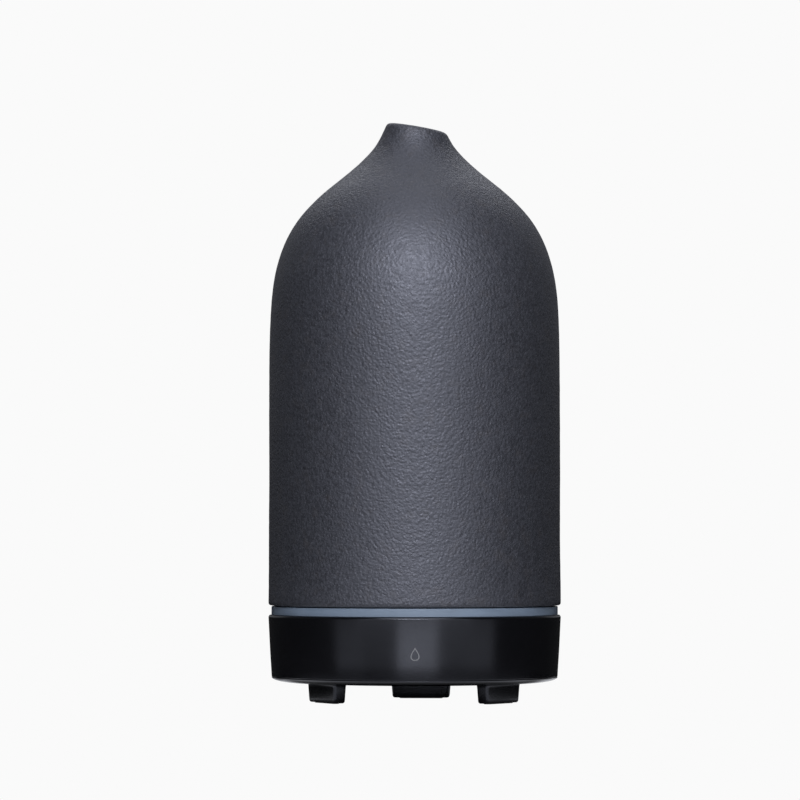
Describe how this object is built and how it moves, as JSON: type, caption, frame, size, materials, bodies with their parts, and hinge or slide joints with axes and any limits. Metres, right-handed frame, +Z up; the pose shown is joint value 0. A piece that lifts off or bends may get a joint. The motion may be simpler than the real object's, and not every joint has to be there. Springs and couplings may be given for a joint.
{
  "type": "essential oil diffuser",
  "caption": "Tabletop ultrasonic oil diffuser: domed ceramic cover with a slanted nozzle, translucent light ring and round black base on short feet.",
  "frame": {"origin": "middle of the object's footprint on the surface it stands on, at the underside of the rubber pads", "axes": "+Z up along the turning axis of cover and base; -Y is the front, +Y the side with the inlet and the buttons, +X the side the nozzle cut slopes down to"},
  "size_m": [0.0896, 0.09, 0.1785],
  "materials": {
    "stone": "unglazed charcoal ceramic, fine sandy grain",
    "ring": "frosted translucent light ring, unlit",
    "black_plastic": "satin black moulded plastic",
    "pad_rubber": "matt black rubber",
    "tank_plastic": "light grey moulded plastic",
    "lid_plastic": "frosted off-white plastic",
    "silicone": "translucent grey silicone",
    "disc_ceramic": "metallised ceramic disc",
    "steel": "zinc plated steel",
    "contact": "nickel plated contact",
    "fan_plastic": "black glass-filled plastic",
    "board": "green solder mask",
    "white_board": "white solder mask",
    "part_plastic": "black component plastic",
    "winding": "ferrite core with sleeve",
    "can": "sleeved capacitor can",
    "aluminium": "extruded aluminium",
    "socket": "natural nylon",
    "lead": "black sleeved lead",
    "led": "phosphor coated LED"
  },
  "bodies": {
    "base": {"light_ring": "ring", "base_shell": "black_plastic", "bottom_cover": "black_plastic", "foot_pad_back": "pad_rubber", "foot_pad_left": "pad_rubber", "foot_pad_right": "pad_rubber", "water_tank": "tank_plastic", "tank_seal": "silicone", "piezo_seal": "silicone", "piezo_disc": "disc_ceramic", "piezo_clamp": "steel", "piezo_screw_1": "steel", "piezo_screw_2": "steel", "piezo_screw_3": "steel", "base_screw_1": "steel", "base_screw_2": "steel", "base_screw_3": "steel", "base_screw_4": "steel", "fan_frame": "fan_plastic", "fan_screw_1": "steel", "fan_screw_2": "steel", "air_duct": "fan_plastic", "main_pcb": "board", "pcb_screw_1": "steel", "pcb_screw_2": "steel", "pcb_screw_3": "steel", "dc_jack": "part_plastic", "dc_jack_contact": "contact", "mist_switch": "part_plastic", "light_switch": "part_plastic", "drive_coil": "winding", "capacitor": "can", "heat_sink": "aluminium", "transistor": "part_plastic", "control_chip": "part_plastic", "fan_socket": "socket", "piezo_socket": "socket", "led_socket": "socket", "led_board": "white_board", "led_1": "led", "led_2": "led", "led_3": "led", "led_4": "led", "led_5": "led", "led_6": "led", "fan_lead": "lead", "piezo_lead": "lead", "led_lead": "lead"},
    "cover": {"stone_cover": "stone"},
    "lid": {"mist_lid": "lid_plastic"},
    "fan": {"fan_rotor": "fan_plastic"},
    "mist_key": {"mist_button": "black_plastic"},
    "light_key": {"light_button": "black_plastic"}
  },
  "joints": [
    {"name": "cover_lift", "type": "slide", "parent": "base", "child": "cover", "axis": [0, 0, 1], "range_m": [0, 0.2]},
    {"name": "lid_lift", "type": "slide", "parent": "base", "child": "lid", "axis": [0, 0, 1], "range_m": [0, 0.015]},
    {"name": "fan_spin", "type": "hinge", "parent": "base", "child": "fan", "pos_m": [0, -0.021, 0.0135], "axis": [0, 0, 1], "continuous": true},
    {"name": "mist_press", "type": "slide", "parent": "base", "child": "mist_key", "axis": [-0.454, -0.891, 0], "range_m": [0, 0.0007], "stiffness_N_per_m": 400},
    {"name": "light_press", "type": "slide", "parent": "base", "child": "light_key", "axis": [0.454, -0.891, 0], "range_m": [0, 0.0007], "stiffness_N_per_m": 400}
  ]
}
